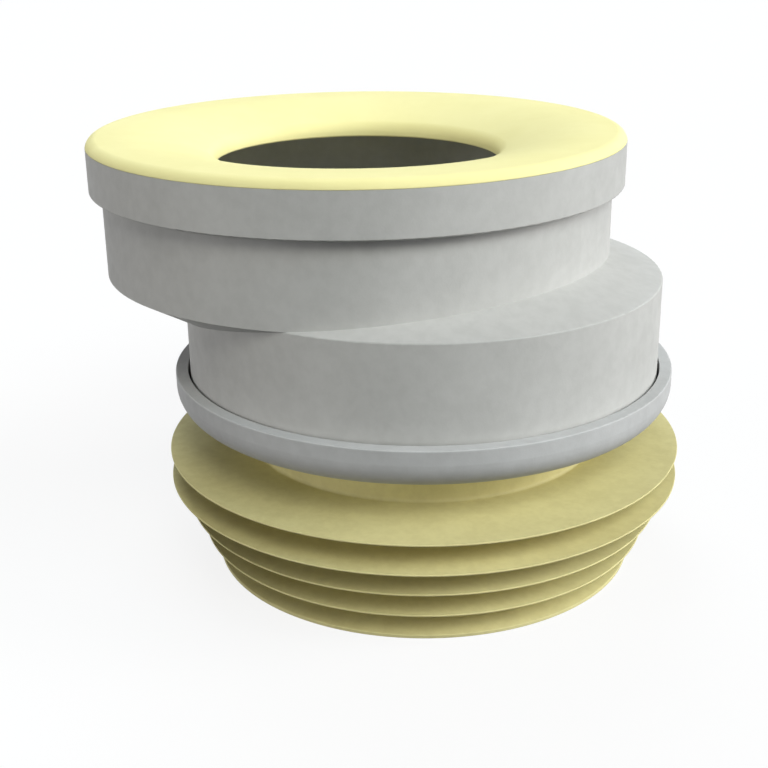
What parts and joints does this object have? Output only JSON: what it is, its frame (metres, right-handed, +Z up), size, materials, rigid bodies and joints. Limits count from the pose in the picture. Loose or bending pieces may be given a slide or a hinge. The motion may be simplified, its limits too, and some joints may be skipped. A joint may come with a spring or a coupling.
{
  "type": "toilet pan connector",
  "caption": "Offset toilet pan connector: grey socket with a cream lip seal, stepped sideways onto a barrel in a dish flange, above a finned cream sleeve that plugs into the soil pipe.",
  "frame": {"origin": "on the outlet axis, at the plane that the connector stands on (the end of the spigot)", "axes": "+Z up along the outlet axis towards the inlet, inlet axis parallel to it and stepped towards -X, Y across"},
  "size_m": [0.1377, 0.121, 0.0971],
  "materials": {
    "grey_plastic": "fine satin moulded plastic, light grey",
    "cream_seal": "soft matt moulded seal, pale cream yellow"
  },
  "bodies": {
    "root": {"offset_body": "grey_plastic", "outlet_spigot": "grey_plastic", "inlet_seal": "cream_seal", "outlet_fin_seal": "cream_seal"}
  },
  "joints": []
}
